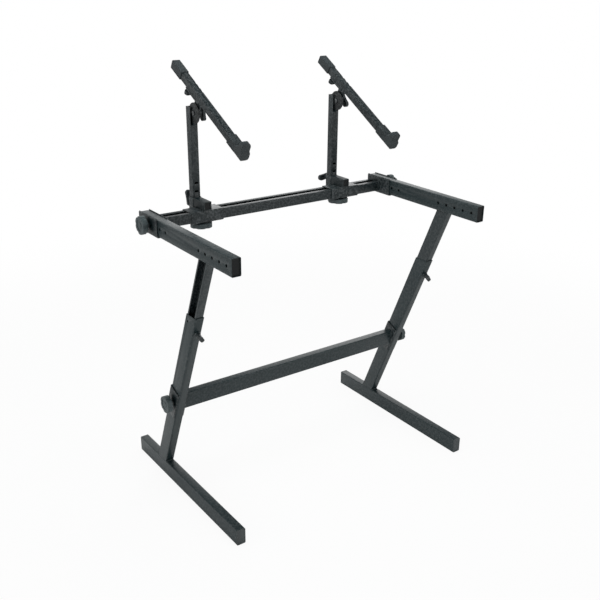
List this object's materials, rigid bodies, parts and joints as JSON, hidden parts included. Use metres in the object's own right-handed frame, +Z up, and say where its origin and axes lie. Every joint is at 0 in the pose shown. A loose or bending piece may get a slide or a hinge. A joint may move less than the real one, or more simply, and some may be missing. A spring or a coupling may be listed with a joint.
{
  "type": "keyboard stand",
  "caption": "Two-tier keyboard stand: leaning telescopic legs on straight feet, level lower arms on a slotted rail, and clamped posts with tilting upper arms.",
  "frame": {"origin": "on the floor under the middle of the stand's overall box", "axes": "+X along the rail to the right as seen from the player's side, +Y away from the player, +Z up"},
  "size_m": [0.8522, 0.5648, 1.1389],
  "materials": {
    "black_steel": "satin black powder coat",
    "black_plastic": "moulded black plastic",
    "rubber": "soft black rubber",
    "bolt_steel": "zinc plated"
  },
  "bodies": {
    "base": {"left_foot": "black_steel", "left_foot_front_cap": "black_plastic", "left_foot_rear_cap": "black_plastic", "left_leg": "black_steel", "right_foot": "black_steel", "right_foot_front_cap": "black_plastic", "right_foot_rear_cap": "black_plastic", "right_leg": "black_steel"},
    "lower_bar": {"lower_crossbar": "black_steel", "left_lower_bracket": "black_steel", "right_lower_bracket": "black_steel"},
    "deck": {"left_inner_leg": "black_steel", "left_inner_leg_glide": "black_plastic", "left_arm": "black_steel", "left_arm_front_cap": "black_plastic", "left_arm_rear_cap": "black_plastic", "right_inner_leg": "black_steel", "right_inner_leg_glide": "black_plastic", "right_arm": "black_steel", "right_arm_front_cap": "black_plastic", "right_arm_rear_cap": "black_plastic"},
    "rail": {"rear_rail": "black_steel", "left_rail_bracket": "black_steel", "right_rail_bracket": "black_steel"},
    "left_leg_knob": {"left_leg_knob": "black_plastic"},
    "left_lower_knob": {"left_lower_knob": "black_plastic"},
    "left_rail_knob": {"left_rail_knob": "black_plastic"},
    "right_leg_knob": {"right_leg_knob": "black_plastic"},
    "right_lower_knob": {"right_lower_knob": "black_plastic"},
    "right_rail_knob": {"right_rail_knob": "black_plastic"},
    "left_clamp": {"left_clamp_sleeve": "black_steel", "left_post_socket": "black_steel", "left_beam_plug": "black_plastic"},
    "left_clamp_knob": {"left_clamp_knob": "black_plastic"},
    "left_post": {"left_post": "black_steel", "left_hinge_bolt": "bolt_steel"},
    "left_post_knob": {"left_post_knob": "black_plastic"},
    "left_tilt_head": {"left_tilt_head": "black_steel", "left_reach_bolt": "bolt_steel"},
    "left_tilt_knob": {"left_tilt_knob": "black_plastic"},
    "left_reach_arm": {"left_reach_arm": "black_steel", "left_reach_grip": "rubber", "left_reach_boot": "rubber", "left_reach_lip": "rubber"},
    "left_reach_knob": {"left_reach_knob": "black_plastic"},
    "right_clamp": {"right_clamp_sleeve": "black_steel", "right_post_socket": "black_steel", "right_beam_plug": "black_plastic"},
    "right_clamp_knob": {"right_clamp_knob": "black_plastic"},
    "right_post": {"right_post": "black_steel", "right_hinge_bolt": "bolt_steel"},
    "right_post_knob": {"right_post_knob": "black_plastic"},
    "right_tilt_head": {"right_tilt_head": "black_steel", "right_reach_bolt": "bolt_steel"},
    "right_tilt_knob": {"right_tilt_knob": "black_plastic"},
    "right_reach_arm": {"right_reach_arm": "black_steel", "right_reach_grip": "rubber", "right_reach_boot": "rubber", "right_reach_lip": "rubber"},
    "right_reach_knob": {"right_reach_knob": "black_plastic"}
  },
  "joints": [
    {"name": "height_slide", "type": "slide", "parent": "base", "child": "deck", "axis": [0, -0.3864, 0.9223], "range_m": [-0.17, 0.2]},
    {"name": "lower_bar_slide", "type": "slide", "parent": "base", "child": "lower_bar", "axis": [0, -0.3864, 0.9223], "range_m": [-0.18, 0.19]},
    {"name": "rail_slide", "type": "slide", "parent": "deck", "child": "rail", "axis": [0, 1, 0], "range_m": [-0.096, 0]},
    {"name": "left_leg_knob_turn", "type": "hinge", "parent": "base", "child": "left_leg_knob", "pos_m": [-0.3867, -0.06385, 0.53006], "axis": [0, -0.9223, -0.3864], "continuous": true},
    {"name": "left_lower_knob_turn", "type": "hinge", "parent": "lower_bar", "child": "left_lower_knob", "pos_m": [-0.40575, 0.04405, 0.2725], "axis": [1, 0, 0], "continuous": true},
    {"name": "left_rail_knob_turn", "type": "hinge", "parent": "rail", "child": "left_rail_knob", "pos_m": [-0.40575, 0.12664, 0.7543], "axis": [1, 0, 0], "continuous": true},
    {"name": "right_leg_knob_turn", "type": "hinge", "parent": "base", "child": "right_leg_knob", "pos_m": [0.3867, -0.06385, 0.53006], "axis": [0, -0.9223, -0.3864], "continuous": true},
    {"name": "right_lower_knob_turn", "type": "hinge", "parent": "lower_bar", "child": "right_lower_knob", "pos_m": [0.40575, 0.04405, 0.2725], "axis": [1, 0, 0], "continuous": true},
    {"name": "right_rail_knob_turn", "type": "hinge", "parent": "rail", "child": "right_rail_knob", "pos_m": [0.40575, 0.12664, 0.7543], "axis": [1, 0, 0], "continuous": true},
    {"name": "left_clamp_slide", "type": "slide", "parent": "rail", "child": "left_clamp", "axis": [1, 0, 0], "range_m": [-0.085, 0.16]},
    {"name": "left_clamp_knob_turn", "type": "hinge", "parent": "left_clamp", "child": "left_clamp_knob", "pos_m": [-0.2365, 0.14714, 0.7198], "axis": [0, 0, 1], "continuous": true},
    {"name": "left_post_slide", "type": "slide", "parent": "left_clamp", "child": "left_post", "axis": [0, 0, 1], "range_m": [-0.16, 0]},
    {"name": "left_post_knob_turn", "type": "hinge", "parent": "left_clamp", "child": "left_post_knob", "pos_m": [-0.2295, 0.20934, 0.7771], "axis": [0, 1, 0], "continuous": true},
    {"name": "left_tilt", "type": "hinge", "parent": "left_post", "child": "left_tilt_head", "pos_m": [-0.2295, 0.17034, 1.0141], "axis": [1, 0, 0], "range_deg": [-28, 25]},
    {"name": "left_tilt_knob_turn", "type": "hinge", "parent": "left_post", "child": "left_tilt_knob", "pos_m": [-0.2095, 0.17034, 1.0141], "axis": [1, 0, 0], "continuous": true},
    {"name": "left_reach_slide", "type": "slide", "parent": "left_tilt_head", "child": "left_reach_arm", "axis": [0, 0.8796, 0.4756], "range_m": [-0.022, 0.06]},
    {"name": "left_reach_knob_turn", "type": "hinge", "parent": "left_tilt_head", "child": "left_reach_knob", "pos_m": [-0.2295, 0.19368, 1.06765], "axis": [0, -0.4756, 0.8796], "continuous": true},
    {"name": "right_clamp_slide", "type": "slide", "parent": "rail", "child": "right_clamp", "axis": [1, 0, 0], "range_m": [-0.16, 0.075]},
    {"name": "right_clamp_knob_turn", "type": "hinge", "parent": "right_clamp", "child": "right_clamp_knob", "pos_m": [0.2315, 0.14714, 0.7198], "axis": [0, 0, 1], "continuous": true},
    {"name": "right_post_slide", "type": "slide", "parent": "right_clamp", "child": "right_post", "axis": [0, 0, 1], "range_m": [-0.16, 0]},
    {"name": "right_post_knob_turn", "type": "hinge", "parent": "right_clamp", "child": "right_post_knob", "pos_m": [0.2385, 0.20934, 0.7771], "axis": [0, 1, 0], "continuous": true},
    {"name": "right_tilt", "type": "hinge", "parent": "right_post", "child": "right_tilt_head", "pos_m": [0.2385, 0.17034, 1.0106], "axis": [1, 0, 0], "range_deg": [-28, 25]},
    {"name": "right_tilt_knob_turn", "type": "hinge", "parent": "right_post", "child": "right_tilt_knob", "pos_m": [0.2585, 0.17034, 1.0106], "axis": [1, 0, 0], "continuous": true},
    {"name": "right_reach_slide", "type": "slide", "parent": "right_tilt_head", "child": "right_reach_arm", "axis": [0, 0.8625, 0.506], "range_m": [-0.005, 0.076]},
    {"name": "right_reach_knob_turn", "type": "hinge", "parent": "right_tilt_head", "child": "right_reach_knob", "pos_m": [0.2385, 0.1918, 1.06493], "axis": [0, -0.506, 0.8625], "continuous": true}
  ]
}
